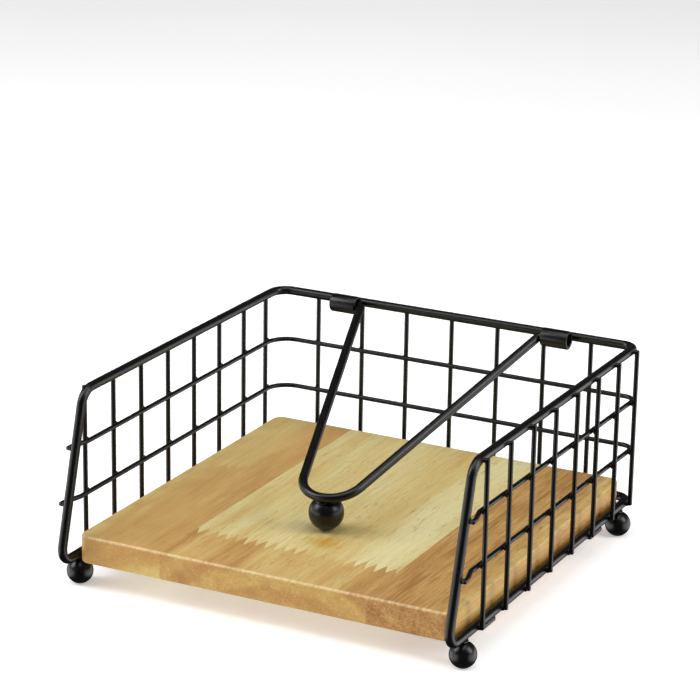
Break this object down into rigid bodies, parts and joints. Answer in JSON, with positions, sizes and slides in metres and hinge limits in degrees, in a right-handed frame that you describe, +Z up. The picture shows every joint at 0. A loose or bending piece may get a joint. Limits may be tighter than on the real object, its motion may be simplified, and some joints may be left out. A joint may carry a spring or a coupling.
{
  "type": "napkin dispenser",
  "caption": "Flat tabletop napkin holder: a welded wire basket on ball feet with a wooden board, open at the front and top, and a hinged weighted wire arm that lies on the stack.",
  "frame": {"origin": "on the surface that the feet stand on, under the middle of the object's box", "axes": "+Z up; -Y is the open front, so +Y points at the back panel and the arm's hinge; +X to the right seen from the front"},
  "size_m": [0.2, 0.2052, 0.0931],
  "materials": {
    "black_coat": "semi-matt black powder coat on steel wire, balls, tubes and tabs",
    "board_wood": "satin clear lacquer over edge-glued and finger-jointed rubberwood staves",
    "screw_zinc": "bright zinc plate"
  },
  "bodies": {
    "frame": {"rim_wire": "black_coat", "side_wire_left_1": "black_coat", "side_wire_left_2": "black_coat", "side_wire_left_3": "black_coat", "side_wire_left_4": "black_coat", "side_wire_left_5": "black_coat", "side_wire_left_6": "black_coat", "side_wire_left_7": "black_coat", "side_wire_left_8": "black_coat", "side_wire_right_1": "black_coat", "side_wire_right_2": "black_coat", "side_wire_right_3": "black_coat", "side_wire_right_4": "black_coat", "side_wire_right_5": "black_coat", "side_wire_right_6": "black_coat", "side_wire_right_7": "black_coat", "side_wire_right_8": "black_coat", "back_wire_1": "black_coat", "back_wire_2": "black_coat", "back_wire_3": "black_coat", "back_wire_4": "black_coat", "back_wire_5": "black_coat", "back_wire_6": "black_coat", "back_wire_7": "black_coat", "long_wire_lower": "black_coat", "long_wire_upper": "black_coat", "board": "board_wood", "board_tab_front_left": "black_coat", "board_tab_front_right": "black_coat", "board_tab_rear_left": "black_coat", "board_tab_rear_right": "black_coat", "screw_front_left": "screw_zinc", "screw_front_right": "screw_zinc", "screw_rear_left": "screw_zinc", "screw_rear_right": "screw_zinc", "foot_front_left": "black_coat", "foot_front_right": "black_coat", "foot_rear_left": "black_coat", "foot_rear_right": "black_coat", "hinge_sleeve_left": "black_coat", "hinge_sleeve_right": "black_coat"},
    "arm": {"arm_wire": "black_coat", "arm_ball": "black_coat"}
  },
  "joints": [
    {"name": "arm_hinge", "type": "hinge", "parent": "frame", "child": "arm", "pos_m": [0.0013, 0.0912, 0.08868], "axis": [-1, 0, 0], "range_deg": [0, 158]}
  ]
}
